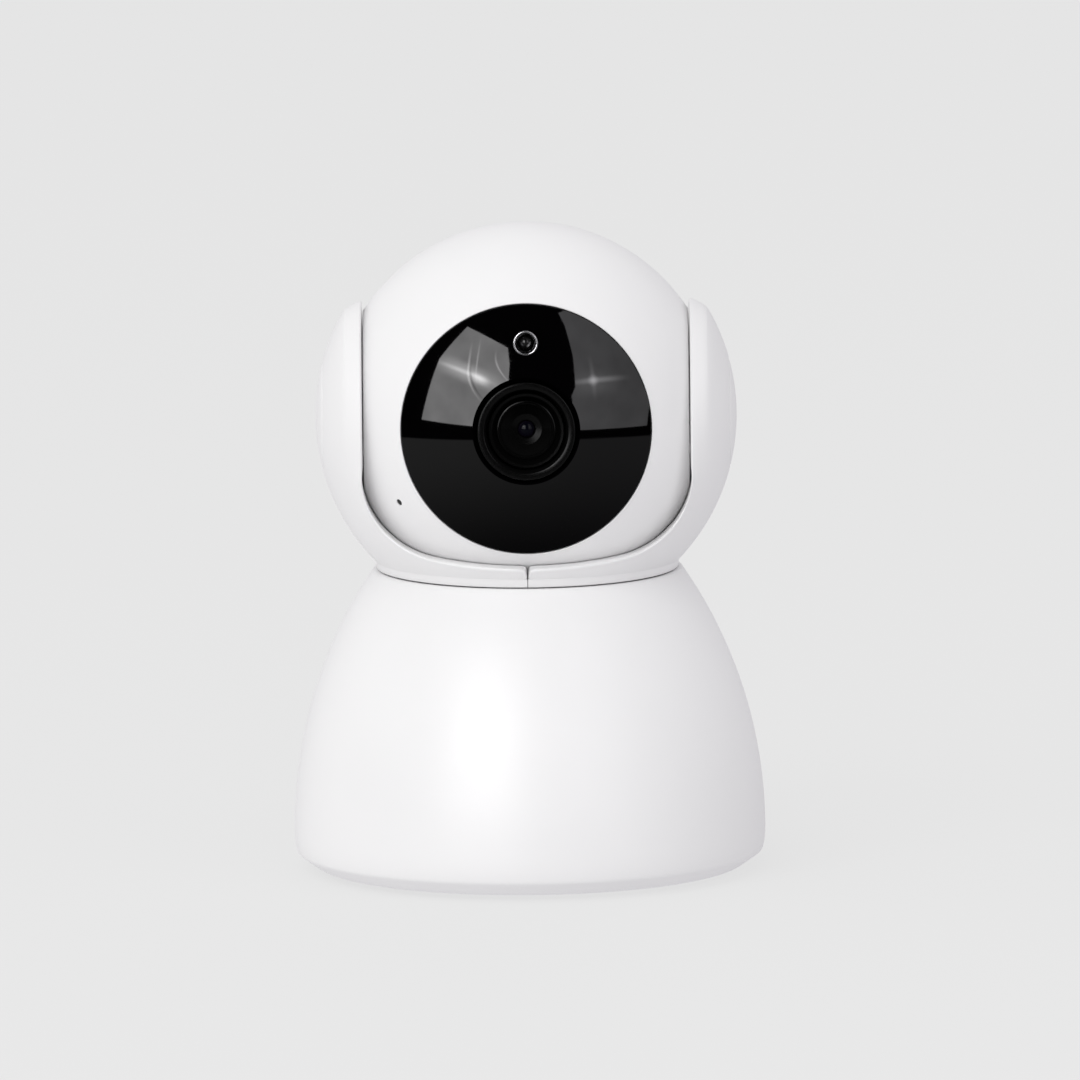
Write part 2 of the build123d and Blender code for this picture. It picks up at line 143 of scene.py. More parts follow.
def mouldedPlastic(name, colour, roughness, grain=0.2, coat=0.0):
    # Satin shell plastic: a very fine spark texture, slow roughness drift and a trace of handling marks.
    f = Finish(name)
    fine = f.noise(2600, 2, 0.6)
    slow = f.noise(38, 3, 0.5)
    smudge = f.noise(120, 4, 0.6).smooth(0.55, 0.75)
    tone = f.blendColours(slow.smooth(0.35, 0.7) * 0.5, colour, shade(colour, 0.965))
    rough = slow * 0.06 + smudge * 0.03 + (roughness - 0.045)
    return f.set(
        Base_Color=tone, Roughness=rough, IOR=1.46, Coat_Weight=coat, Coat_Roughness=0.2,
        Normal=f.bump(fine, grain, 0.00002),
    )


def polishedWindow():
    # Tinted polished window: deep black with the faintest orange peel and fine wipe marks.
    f = Finish("face black")
    peel = f.noise(70, 2, 0.4)
    wipes = f.noise(260, 3, 0.5, f.place(Scale=(1.0, 1.0, 7.0), Rotation=(0, radians(35), 0)))
    dust = f.noise(900, 2, 0.5).smooth(0.68, 0.8)
    tone = f.blendColours(dust * 0.25, grey(0.0006, (1.1, 0.9, 1.2)), grey(0.0022))
    rough = wipes.smooth(0.5, 0.8) * 0.03 + 0.03
    return f.set(Base_Color=tone, Roughness=rough, IOR=1.55, Normal=f.bump(peel, 0.10, 0.0002))


def blackPlastic(name, level, roughness, grain=0.3, bend=1.46):
    f = Finish(name)
    fine = f.noise(1800, 3, 0.6)
    slow = f.noise(90, 3, 0.5)
    tone = f.blendColours(slow, grey(level), grey(level * 1.6))
    return f.set(
        Base_Color=tone, Roughness=slow * 0.1 + (roughness - 0.05), IOR=bend,
        Normal=f.bump(fine, grain, 0.00003),
    )


def metal(name, colour, roughness, streak=(1, 1, 30), grain=0.15):
    f = Finish(name)
    brushed = f.noise(300, 4, 0.6, f.place(Scale=streak))
    slow = f.noise(60, 3, 0.5)
    tone = f.blendColours(slow, colour, shade(colour, 0.82))
    return f.set(
        Base_Color=tone, Metallic=1.0, Roughness=brushed * 0.14 + (roughness - 0.07),
        Normal=f.bump(brushed, grain, 0.00004),
    )


def coatedGlass():
    # Coated front element: dark, with a violet to green cast towards its rim. The cast is painted sheen: the
    # colour brightens where the glass turns away from view, standing in for the coating's reflection.
    f = Finish("lens glass")
    glancingSheen = f.make("ShaderNodeLayerWeight", {}, {"Blend": 0.35}, output=1)
    tone = f.blendColours(glancingSheen, (0.0015, 0.0018, 0.004, 1), (0.010, 0.004, 0.012, 1))
    rough = f.noise(400, 2, 0.5) * 0.02 + 0.015
    return f.set(Base_Color=tone, Roughness=rough, IOR=1.22)


def softRubber():
    f = Finish("foot rubber")
    fine = f.noise(1500, 4, 0.7)
    tone = f.blendColours(f.noise(200), grey(0.03), grey(0.055))
    return f.set(Base_Color=tone, Roughness=fine * 0.15 + 0.7, Normal=f.bump(fine, 0.5, 0.00005))


def circuitMask():
    # Green solder mask over copper tracks.
    f = Finish("circuit board")
    cells = f.make("ShaderNodeTexVoronoi", {"distance": "CHEBYCHEV", "feature": "F1"},
                   {"Vector": f.place(), "Scale": 420.0})
    tracks = cells.smooth(0.28, 0.34)
    tone = f.blendColours(tracks, (0.008, 0.10, 0.035, 1), (0.015, 0.17, 0.06, 1))
    return f.set(Base_Color=tone, Roughness=tracks * 0.1 + 0.3, Normal=f.bump(tracks, 0.4, 0.00005))


whiteShell = mouldedPlastic("shell white", (0.80, 0.795, 0.80, 1), 0.42, 0.22, 0.08)
coverWhite = mouldedPlastic("cover white", (0.72, 0.72, 0.73, 1), 0.55, 0.6)
faceBlack = polishedWindow()
bezelBlack = blackPlastic("bezel black", 0.0015, 0.18, 0.1, 1.30)
innerBlack = blackPlastic("inner black", 0.02, 0.6)
barrelBlack = blackPlastic("barrel anodised", 0.0012, 0.18, 0.1, 1.26)
chrome = metal("bright chrome", (0.86, 0.86, 0.88, 1), 0.12, (1, 1, 1), 0.03)
zincSteel = metal("zinc steel", (0.56, 0.56, 0.58, 1), 0.34)
motorSteel = metal("motor steel", (0.62, 0.62, 0.62, 1), 0.4)
turnedBrass = metal("turned brass", (0.80, 0.58, 0.26, 1), 0.3)
lensGlass = coatedGlass()
footRubber = softRubber()
boardGreen = circuitMask()
acetal = mouldedPlastic("acetal", (0.72, 0.71, 0.66, 1), 0.45, 0.2)
chipBlack = blackPlastic("chip epoxy", 0.03, 0.55)
ledResin = blackPlastic("led resin", 0.004, 0.10, 0.03)
print("finishes made")


def newObject(name, bm, material):
    mesh = bpy.data.meshes.new(name)
    bm.to_mesh(mesh)
    bm.free()
    mesh.materials.append(material)
    thing = bpy.data.objects.new(name, mesh)
    bpy.context.scene.collection.objects.link(thing)
    return thing


def piece(name, bm, material, body, place=None, sharp=35):
    # turns a bmesh into a finished piece that rides on a body
    bmesh.ops.remove_doubles(bm, verts=bm.verts[:], dist=1e-6)
    bmesh.ops.recalc_face_normals(bm, faces=bm.faces[:])
    if place is not None:
        bmesh.ops.transform(bm, matrix=place, verts=bm.verts[:])
    thing = newObject(name, bm, material)
    thing.data.shade_smooth()
    thing.data.set_sharp_from_angle(angle=radians(sharp))
    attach(thing, body)
    return thing


def applyModifiers(thing):
    # bakes live modifiers into the mesh
    depsgraph = bpy.context.evaluated_depsgraph_get()
    baked = bpy.data.meshes.new_from_object(thing.evaluated_get(depsgraph))
    thing.modifiers.clear()
    old = thing.data
    thing.data = baked
    bpy.data.meshes.remove(old)


def carve(thing, cutter):
    # cuts one closed bmesh out of a piece
    mesh = bpy.data.meshes.new("cutter")
    cutter.to_mesh(mesh)
    cutter.free()
    tool = bpy.data.objects.new("cutter", mesh)
    bpy.context.scene.collection.objects.link(tool)
    cut = thing.modifiers.new("cut", "BOOLEAN")
    cut.operation = "DIFFERENCE"
    cut.solver = "EXACT"
    cut.object = tool
    applyModifiers(thing)
    bpy.data.objects.remove(tool)
    bpy.data.meshes.remove(mesh)
    thing.data.set_sharp_from_angle(angle=radians(35))


def arc(centreR, centreH, radius, fromDeg, toDeg, steps):
    # points of an arc in (radius, height), both ends included
    points = []
    for i in range(steps + 1):
        a = radians(fromDeg + (toDeg - fromDeg) * i / steps)
        points.append((centreR + radius * cos(a), centreH + radius * sin(a)))
    return points


def lathe(points, steps=128, closed=True):
    # spins an outline of (radius, height) millimetre points about Z
    bm = bmesh.new()
    verts = [bm.verts.new((r * mm, 0, h * mm)) for r, h in points]
    edges = [bm.edges.new((a, b)) for a, b in zip(verts, verts[1:])]
    if closed:
        edges.append(bm.edges.new((verts[-1], verts[0])))
    bmesh.ops.spin(bm, geom=verts + edges, axis=(0, 0, 1), cent=(0, 0, 0), angle=2 * pi, steps=steps,
                   use_merge=True)
    bmesh.ops.remove_doubles(bm, verts=bm.verts[:], dist=1e-6)
    return bm


toFront = Matrix.Rotation(pi / 2, 4, "X")        # Z to -Y
toRight = Matrix.Rotation(pi / 2, 4, "Y")        # Z to +X
toLeft = Matrix.Rotation(-pi / 2, 4, "Y")        # Z to -X
facePlace = headPlace @ toFront


base = {
    "radius": 40.0, "bellRadius": 78.65, "bellFoot": 7.0, "neck": 51.5, "wall": 2.2,
    "bottom": 34.8, "lip": 24.9,
    "bevel": [(35.9, 0.83), (36.25, 0.93), (36.7, 1.17), (39.15, 2.88), (39.45, 3.14), (39.6, 3.4)],
    "crease": [(39.7, 3.75), (39.83, 4.4), (39.93, 5.2), (39.98, 6.1)],
    "socketAt": (0, 37.5, 10.95), "socketSize": (8.2, 9.0, 3.3), "socketCorner": 1.2,
    "speakerAt": (38, 23.5), "speakerPitch": 2.6, "speakerHole": 0.7,
    "speakerRings": ((0, 1), (1, 6), (2, 12)),      # each ring and its number of holes
}


def bellAngle(offset, height):
    return degrees(asin((height - base["bellFoot"]) / (base["bellRadius"] - offset)))


def makeBase():
    centre = base["radius"] - base["bellRadius"]
    foot = base["bellFoot"]
    top = base["neck"]
    outer = arc(centre, foot, base["bellRadius"], 0, bellAngle(0, top - 0.5), 60)
    rimR = outer[-1][0]
    rim = [(rimR - 0.22, top - 0.18), (rimR - 0.55, top)]
    lip = [(base["lip"] + 0.3, top), (base["lip"], top - 0.3), (base["lip"] - 0.1, top - 2.0)]
    inner = arc(centre, foot, base["bellRadius"] - base["wall"], bellAngle(base["wall"], top - 2.0), 0, 24)
    under = [(base["bottom"], 4.2), (base["bottom"], 0.95), (base["bottom"] + 0.15, 0.8)]
    bm = lathe(under + base["bevel"] + base["crease"] + outer + rim + lip + inner, 180)
    shell = piece("bellShell", bm, whiteShell, "base", sharp=50)
    carve(shell, slotCutter(base["socketAt"], base["socketSize"], base["socketCorner"]))
    y, z = base["speakerAt"]
    for ring, count in base["speakerRings"]:
        reach = ring * base["speakerPitch"]
        for i in range(count):
            a = 2 * pi * i / count
            carve(shell, drill(base["speakerHole"], (reach * cos(a), y, z + reach * sin(a)), 6))
    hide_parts("base_shell")


def drill(radius, at, depth, direction=(0, 1, 0)):
    # a closed round cutter, in millimetres; depth is half its length
    bm = bmesh.new()
    bmesh.ops.create_cone(bm, cap_ends=True, segments=24, radius1=radius * mm, radius2=radius * mm,
                          depth=2 * depth * mm)
    turn = Vector(direction).to_track_quat("Z", "Y").to_matrix().to_4x4()
    bmesh.ops.transform(bm, matrix=Matrix.Translation(Vector(at) * mm) @ turn, verts=bm.verts[:])
    return bm


def slotCutter(at, size, corner):
    # a box whose edges along Y are rounded, in millimetres
    bm = bmesh.new()
    bmesh.ops.create_cube(bm, size=1)
    bmesh.ops.scale(bm, vec=[s * mm for s in size], verts=bm.verts[:])
    along = [e for e in bm.edges if abs((e.verts[0].co - e.verts[1].co).normalized().y) > 0.9]
    bmesh.ops.bevel(bm, geom=along, offset=corner * mm, segments=5, profile=0.5, affect="EDGES",
                    material=-1)
    bmesh.ops.translate(bm, vec=Vector(at) * mm, verts=bm.verts[:])
    return bm


yoke = {
    "radius": 35.75, "slotHalf": 27.95, "slotDepth": 22.55, "crown": 120.0, "corner": 14.0,
    "seamGap": 0.06, "facetFrom": 30.8, "facetEdge": 19.6, "facetFade": (0.8, 1.3),
    "collar": 25.65, "collarLow": 51.72 - centreZ, "collarInner": 23.6,
    "cap": 9.0, "capFloor": 33.1, "capHoleSquare": 83.2, "hub": 12,
    "columns": 96, "slotRows": 14, "earRows": (0.9, 1.75, 2.6, 3.4, 4.2, 5.0, 5.7, 6.25),
}


def crownHeight(x):
    return -yoke["slotDepth"] + yoke["crown"] - sqrt(yoke["crown"] ** 2 - x * x)


def cornerFrame():
    # centre of the slot's corner arc and the arc's end on the crown
    r = yoke["corner"]
    cx = yoke["slotHalf"] - r
    cz = -yoke["slotDepth"] + yoke["crown"] - sqrt((yoke["crown"] - r) ** 2 - cx * cx)
    lean = asin(cx / (yoke["crown"] - r))
    return cx, cz, lean


def cornerPoint(t):
    # (x, z) on the slot's corner arc; t runs from 0 at the crown's end to 1 at the wall's foot
    cx, cz, lean = cornerFrame()
    a = -pi / 2 + lean + (pi / 2 - lean) * t
    return cx + yoke["corner"] * cos(a), cz + yoke["corner"] * sin(a)


def onSphere(x, z, radius, front):
    y = sqrt(max(radius * radius - x * x - z * z, 0))
    return Vector((x, -y if front else y, z))


def downAngle(co):
    # 0 straight down, positive to the front
    return atan2(-co.y, -co.z)


def halfBall():
    # right half of the ball in millimetres, spun about X from the seam to the side cap's hole
    bigR = yoke["radius"]
    rows = [yoke["seamGap"]]
    rows += [yoke["slotHalf"] * i / yoke["slotRows"] for i in range(1, yoke["slotRows"] + 1)]
    rows += [yoke["slotHalf"] + d for d in yoke["earRows"]]
    profile = [(sqrt(bigR ** 2 - x * x), x) for x in rows]
    profile.append((yoke["cap"] + 0.12, sqrt(bigR ** 2 - yoke["capHoleSquare"])))
    bm = lathe(profile, yoke["columns"], closed=False)
    bmesh.ops.transform(bm, matrix=toRight, verts=bm.verts[:])
    bmesh.ops.scale(bm, vec=(1000, 1000, 1000), verts=bm.verts[:])
    return bm


def openSlot(bm):
    # the slot's faces are taken away, and the kept columns fan out to its outline on each row
    wallX = yoke["slotHalf"]
    step = 2 * pi / yoke["columns"]
    kept = round(acos(-crownHeight(wallX) / sqrt(yoke["radius"] ** 2 - wallX ** 2)) / step)
    gone = []
    for f in bm.faces:
        middle = f.calc_center_median()
        if middle.x < wallX and abs(downAngle(middle)) > kept * step:
            gone.append(f)
    bmesh.ops.delete(bm, geom=gone, context="FACES")
    for v in bm.verts:
        x = v.co.x
        k = round(downAngle(v.co) / step)
        if x > wallX + 0.01 or abs(k) > kept:
            continue
        r = sqrt(yoke["radius"] ** 2 - x * x)
        a = acos(min(1, -crownHeight(x) / r)) * k / kept
        v.co.y = -r * sin(a)
        v.co.z = -r * cos(a)


def roundCorner(bm):
    # the rim near the slot's corner moves on to its arc
    wallX = yoke["slotHalf"]
    cx, cz, lean = cornerFrame()
    crownEnd = cx + yoke["corner"] * sin(lean)
    cornerZ = crownHeight(wallX)
    rim = [v for v in bm.verts if v.is_boundary and v.co.x > yoke["seamGap"] + 0.01]
    for v in rim:
        t = None
        onWall = v.co.x > wallX - 0.01
        if hypot(v.co.y, v.co.z) <= 15:
            continue
        if not onWall and v.co.x > crownEnd:
            t = 0.5 * (v.co.x - crownEnd) / (wallX - crownEnd)
        elif onWall and v.co.z < cz:
            t = 0.5 + 0.5 * (v.co.z - cornerZ) / (cz - cornerZ)
        if t is not None:
            v.co = onSphere(*cornerPoint(t), yoke["radius"], v.co.y < 0)


def relaxOnBall(bm):
    # the inner vertices even out without leaving the ball
    loose = [v for v in bm.verts if not v.is_boundary and v.co.x < yoke["slotHalf"] + 4]
    for _ in range(80):
        bmesh.ops.smooth_vert(bm, verts=loose, factor=0.5, use_axis_x=True, use_axis_y=True, use_axis_z=True)
        for v in loose:
            v.co = v.co.normalized() * yoke["radius"]


def flattenEarEdge(bm):
    # flat facet round the free edge of the ear, fading into the bowl
    wallX = yoke["slotHalf"]
    start, width = yoke["facetFade"]
    endR = sqrt(yoke["radius"] ** 2 - yoke["facetFrom"] ** 2)
    for v in bm.verts:
        x = v.co.x
        if not wallX - 0.01 <= x < yoke["facetFrom"]:
            continue
        facet = endR + (yoke["facetEdge"] - endR) * (yoke["facetFrom"] - x) / (yoke["facetFrom"] - wallX)
        amount = min(1, max(0, (abs(downAngle(v.co)) - start) / width))
        amount = amount * amount * (3 - 2 * amount)
        scale = 1 + (facet / hypot(v.co.y, v.co.z) - 1) * amount
        v.co.y *= scale
        v.co.z *= scale


def wallSlot(bm):
    # the slot's wall, a small rounding first
    edges = [e for e in bm.edges if e.is_boundary]
    for depth, inset in ((0.28, 0.22), (2.4, 0)):
        grown = bmesh.ops.extrude_edge_only(bm, edges=edges)["geom"]
        for v in [g for g in grown if isinstance(g, bmesh.types.BMVert)]:
            shrinkRim(v, depth, inset)
        edges = [g for g in grown if isinstance(g, bmesh.types.BMEdge)]


def makeYokeHalf(side, name, node):
    bm = halfBall()
    openSlot(bm)
    roundCorner(bm)
    relaxOnBall(bm)
    flattenEarEdge(bm)
    wallSlot(bm)
    bmesh.ops.recalc_face_normals(bm, faces=bm.faces[:])
    bmesh.ops.scale(bm, vec=(mm, mm, mm), verts=bm.verts[:])
    if side < 0:
        bmesh.ops.mirror(bm, geom=bm.verts[:] + bm.edges[:] + bm.faces[:], axis="X", merge_dist=-1)
        right = [f for f in bm.faces if f.calc_center_median().x > 0]
        bmesh.ops.delete(bm, geom=right, context="FACES")
    thing = piece(name, bm, whiteShell, "yoke", yokePlace, 32)
    smooth = thing.modifiers.new("smooth", "SUBSURF")
    smooth.levels = 1
    smooth.render_levels = 1
    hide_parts(node)


def shrinkRim(v, depth, inset):
    # moves an edge vertex towards the ball's centre by depth, keeping to its own plane of the slot
    co = v.co
    reach = hypot(co.y, co.z)
    if co.x < yoke["seamGap"] + 0.01 and inset == 0 and co.z < crownHeight(0) - 0.4:
        v.co = co.normalized() * (co.length - depth)
        v.co.x = co.x
    elif co.x > yoke["slotHalf"] - 0.02 and reach > yoke["hub"]:
        s = (reach - depth * 1.2) / reach
        v.co = Vector((co.x - inset, co.y * s, co.z * s))
    elif reach <= yoke["hub"]:
        v.co = Vector((co.x - depth, co.y, co.z))
    else:
        y = sqrt(max((co.length - depth) ** 2 - co.x ** 2 - co.z ** 2, 0.01))
        v.co = Vector((co.x, y if co.y > 0 else -y, co.z + inset * 0.5))


def sidePlace(side):
    return yokePlace @ (toRight if side > 0 else toLeft)


def makeEarWall(side, name):
    # the flat wall that closes the ear beside the ball
    x = yoke["slotHalf"]
    outline = [(4.2, x + 0.05), (19.2, x + 0.05), (19.4, x + 0.3), (17.2, x + 1.6), (4.2, x + 1.6)]
    bm = lathe(outline, 96)
    thing = piece(name, bm, whiteShell, "yoke", sidePlace(side))


def makeSideCap(side, name, node):
    # round cap over the trunnion, a hair below flush with a softened edge
    r = yoke["cap"]
    bigR = yoke["radius"] - 0.04
    height = sqrt(bigR ** 2 - r * r)
    crown = []
    for i in range(10):
        k = (r - 0.25) * (1 - i / 9)
        crown.append((k, sqrt(bigR ** 2 - k * k)))
    floor = yoke["capFloor"]
    outline = [(0, floor), (r, floor), (r, height - 0.2), (r - 0.07, height - 0.06)] + crown
    bm = lathe(outline, 96, closed=False)
    thing = piece(name, bm, whiteShell, "yoke", sidePlace(side))
    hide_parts(node)


def makeCollar():
    # short skirt under the bowl, split like the yoke
    low = yoke["collarLow"]
    r = yoke["collar"]
    inner = yoke["collarInner"]
    for side, name in ((-1, "collarLeft"), (1, "collarRight")):
        outline = [(inner, low + 0.02), (r - 0.15, low), (r, low + 0.15), (r + 0.02, low + 0.9),
                   (r + 0.25, low + 1.45), (r - 0.8, low + 1.4), (inner, low + 1.0)]
        bm = lathe(outline, 128)
        bmesh.ops.bisect_plane(bm, geom=bm.verts[:] + bm.edges[:] + bm.faces[:], dist=1e-6,
                               plane_co=(side * yoke["seamGap"] * mm, 0, 0), plane_no=(side, 0, 0),
                               clear_inner=True)
        ends = [e for e in bm.edges if e.is_boundary]
        bmesh.ops.holes_fill(bm, edges=ends)
        thing = piece(name, bm, whiteShell, "yoke", yokePlace, 50)


head = {
    "ball": 32.8, "flat": 27.6, "flatHole": 7.2, "wall": 1.8, "split": 8.0, "face": 21.15,
    "ledgeR": 19.9, "ledge": (21.0, 22.3), "dome": 48.0, "domeFront": 29.9, "windowThick": 2,
    "bezel": 8.25, "bezelFront": 29.6, "sensorUp": 14.8, "sensorR": 2.1,
    "microphone": (-21.6, -21.2, -12.65), "microphoneHole": 0.6,
    "slotAngle": radians(60), "slotSize": (11.0, 12.0, 1.4), "slotAt": (-0.5, -32, 0), "slotCorner": 0.5,
    "buttonReach": 0.34, "buttonHole": 1.22,
    "screwX": 20, "screwZ": 19, "screwHole": 2.4, "screwY": 22.1, "wellDepth": 1.1,
}


def flattenSide(bm, side):
    # cuts the ball at its side, rounds the new edge and closes it with a flat
    flat = head["flat"] * mm
    big = head["ball"] * mm
    hole = head["flatHole"] * mm
    start = flat - 0.35 * mm
    everything = bm.verts[:] + bm.edges[:] + bm.faces[:]
    bmesh.ops.bisect_plane(bm, geom=everything, dist=1e-7, plane_co=(side * start, 0, 0),
                           plane_no=(side, 0, 0), clear_outer=True)
    rim = [e for e in bm.edges if e.is_boundary and all(abs(abs(v.co.x) - start) < 1e-6 for v in e.verts)]
    rimR = sqrt(big * big - start * start)
    for r, x in ((rimR - 0.18 * mm, flat - 0.16 * mm), (rimR - 0.45 * mm, flat - 0.04 * mm),
                 (rimR - 0.8 * mm, flat), (hole, flat), (hole, flat - 1.6 * mm)):
        grown = bmesh.ops.extrude_edge_only(bm, edges=rim)["geom"]
        rim = [g for g in grown if isinstance(g, bmesh.types.BMEdge)]
        for v in {v for e in rim for v in e.verts}:
            a = atan2(v.co.z, v.co.y)
            v.co = Vector((side * x, r * cos(a), r * sin(a)))


def buttonWay():
    # direction of the reset button from the ball's centre
    k = head["buttonReach"]
    c = sqrt(1 - k * k)
    return k, -c * cos(head["slotAngle"]), -c * sin(head["slotAngle"])


def makeFrontShell():
    # spun about the lens axis, from the face's rim back to the joint
    big = head["ball"]
    a0 = degrees(asin((head["face"] + 0.42) / big))
    a1 = 90 + degrees(asin(head["split"] / big)) - 0.25
    turns = [a0 + (a1 - a0) * i / 44 for i in range(44)] + [a1 - 0.2, a1]
    outer = [(big * sin(radians(a)), big * cos(radians(a))) for a in turns]
    faceD = sqrt(big ** 2 - head["face"] ** 2)
    face = head["face"]
    ledgeBack, ledgeTop = head["ledge"]
    rim = [(head["ledgeR"], ledgeTop), (face + 0.03, ledgeTop), (face + 0.03, faceD - 0.42),
           (face + 0.09, faceD - 0.2), (face + 0.22, faceD - 0.1)]
    backR = sqrt(big ** 2 - head["split"] ** 2)
    back = [(backR - 0.12, -head["split"]), (backR - 1.6, -head["split"])]
    inner = big - head["wall"]
    inside = [(inner * sin(radians(a)), inner * cos(radians(a))) for a in (100, 90, 80, 70, 60, 50, 45)]
    bm = lathe(rim + outer + back + inside + [(head["ledgeR"], ledgeBack)], 200)
    bmesh.ops.transform(bm, matrix=toFront, verts=bm.verts[:])
    for side in (-1, 1):
        flattenSide(bm, side)
    shell = piece("ballFront", bm, whiteShell, "head", None, 40)
    carve(shell, drill(head["microphoneHole"], head["microphone"], 4, head["microphone"]))
    mouth = slotCutter((0, 0, 0), head["slotSize"], head["slotCorner"])
    turn = Matrix.Rotation(head["slotAngle"], 4, "X") @ Matrix.Translation(Vector(head["slotAt"]) * mm)
    bmesh.ops.transform(mouth, matrix=turn, verts=mouth.verts[:])
    carve(shell, mouth)
    way = buttonWay()
    carve(shell, drill(head["buttonHole"], tuple(32 * w for w in way), 4, way))
    shell.data.transform(headPlace)
    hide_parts("head_front_shell")


def makeRearShell():
    # spun from the inner pole round the joint's rim to the outer pole
    big = head["ball"]
    small = big - head["wall"]
    joint = head["split"] + 0.12
    outer = [(sqrt(big * big - joint * joint) - 0.1, -joint)]
    a0 = 90 + degrees(asin((joint + 0.1) / big))
    for i in range(46):
        a = radians(a0 + (180 - a0) * max(i - 1, 0.15 * i) / 44)
        outer.append((big * sin(a), big * cos(a)))
    inner = [(small * sin(radians(a)), small * cos(radians(a))) for a in range(180, 104, -5)]
    outer[-1] = (0, -big)
    inner[0] = (0, -small)
    bm = lathe(inner + [(sqrt(small * small - joint * joint), -joint)] + outer, 200, closed=False)
    bmesh.ops.transform(bm, matrix=toFront, verts=bm.verts[:])
    for side in (-1, 1):
        flattenSide(bm, side)
    shell = piece("ballRear", bm, whiteShell, "head", None, 40)
    for x in (-head["screwX"], head["screwX"]):
        for z in (-head["screwZ"], head["screwZ"]):
            carve(shell, drill(head["screwHole"], (x, head["screwY"], z), 10))
            makeScrewWell(x, z)
    shell.data.transform(headPlace)
    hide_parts("head_rear_shell")


def makeScrewWell(x, z):
    # moulded sleeve from the hole down to the screw's head, cut off just under the ball's skin
    bm = lathe([(1.3, 9.6), (3.0, 9.6), (3.0, 24), (2.41, 24), (2.41, 10.9), (1.3, 10.9)], 32)
    turn = Matrix.Translation(Vector((x, 0, z)) * mm) @ Matrix.Rotation(-pi / 2, 4, "X")
    bmesh.ops.transform(bm, matrix=turn, verts=bm.verts[:])
    skin = Vector((x, sqrt(head["ball"] ** 2 - x * x - z * z), z)).normalized()
    everything = bm.verts[:] + bm.edges[:] + bm.faces[:]
    bmesh.ops.bisect_plane(bm, geom=everything, dist=1e-7, plane_no=skin, clear_outer=True,
                           plane_co=skin * (head["ball"] - head["wellDepth"]) * mm)
    bmesh.ops.bridge_loops(bm, edges=[e for e in bm.edges if e.is_boundary])
    well = piece("screwWell", bm, whiteShell, "head", headPlace, 40)


def domeD(radius, r):
    return head["domeFront"] - head["dome"] + sqrt(radius ** 2 - r * r)


def makeWindow():
    hole = head["bezel"] + 0.12
    big = head["dome"]
    small = big - head["windowThick"]
    rim = head["face"] - 0.05
    bevelR = hole + 0.75
    front = [(hole + 0.05, domeD(big, hole) - 0.85), (hole + 0.25, domeD(big, hole) - 0.6)]
    for i in range(41):
        r = bevelR + (rim - 0.15 - bevelR) * i / 40
        front.append((r, domeD(big, r)))
    edge = [(rim - 0.05, domeD(big, rim - 0.05)), (rim, domeD(big, rim) - 0.08), (rim, domeD(small, rim))]
    back = [(15, domeD(small, 15)), (hole, domeD(small, hole)), (hole, domeD(big, hole) - 1.0)]
    bm = lathe(front + edge + back, 200)
    window = piece("faceWindow", bm, faceBlack, "head", None, 40)
    carve(window, drill(head["sensorR"] + 0.06, (0, head["sensorUp"], 27), 6, (0, 0, 1)))
    window.data.transform(facePlace)
    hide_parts("face_window")


lens = {
    "bore": 6.7, "back": 23.5,
    "barrel": [
        (1.2, 16.2), (1.2, 24.5), (1.47, 25.05), (1.5, 25.32), (1.62, 25.4), (2.6, 25.5), (4.2, 26.6),
        (4.37, 26.75), (4.4, 27.35), (4.48, 27.43), (4.6, 27.43), (4.68, 27.35), (4.74, 26.85),
        (4.9, 26.8), (5.7, 27.9), (5.8, 28.1), (5.92, 28.18), (6.26, 28.2), (6.38, 28.1),
        (6.4, 27.9), (6.4, 25.5), (6.0, 25.5), (6.0, 16.2),
    ],
    "glass": [
        (0, 25.72), (0.3, 25.7), (0.6, 25.64), (0.9, 25.53), (1.15, 25.38), (1.32, 25.22), (1.42, 25.0),
        (1.15, 24.5), (1.15, 23.6), (0, 23.6),
    ],
}


def makeLens():
    front = head["bezelFront"]
    big = head["bezel"]
    bore = lens["bore"]
    bezel = [(bore, lens["back"]), (big, lens["back"]), (big, front - 0.3)]
    bezel += arc(big - 0.2, front - 0.2, 0.2, 0, 90, 5)
    bezel += [(7.3, front), (7.15, front - 0.04), (7.06, front - 0.16)]
    bezel += [(6.74, front - 1.2), (bore, front - 1.4)]
    ring = piece("lensBezel", lathe(bezel, 128), bezelBlack, "head", facePlace, 30)
    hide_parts("lens_bezel")
    tube = piece("lensBarrel", lathe(lens["barrel"], 128), barrelBlack, "head", facePlace, 25)
    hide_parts("lens_barrel")
    glass = piece("lensGlass", lathe(lens["glass"], 96, closed=False), lensGlass, "head", facePlace, 50)
    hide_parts("lens_front_glass")


def makeMicShadePlug():
    # black plug just under the skin of the microphone hole: painted shade, a dark piece that fills the hole
    # so it reads as a deep hole in shadow
    way = Vector(head["microphone"]).normalized()
    bm = lathe([(0, 31.2), (0.59, 31.2), (0.59, 32.58), (0.52, 32.64), (0, 32.64)], 24, closed=False)
    turn = headPlace @ way.to_track_quat("Z", "Y").to_matrix().to_4x4()
    bmesh.ops.transform(bm, matrix=turn, verts=bm.verts[:])
    shadePlug = piece("micShadePlug", bm, innerBlack, "head", None, 40)


sensor = {"bore": 1.45, "back": 25.0, "top": 28.3, "eye": 1.35, "eyeAt": 25.95, "foot": 18.9}


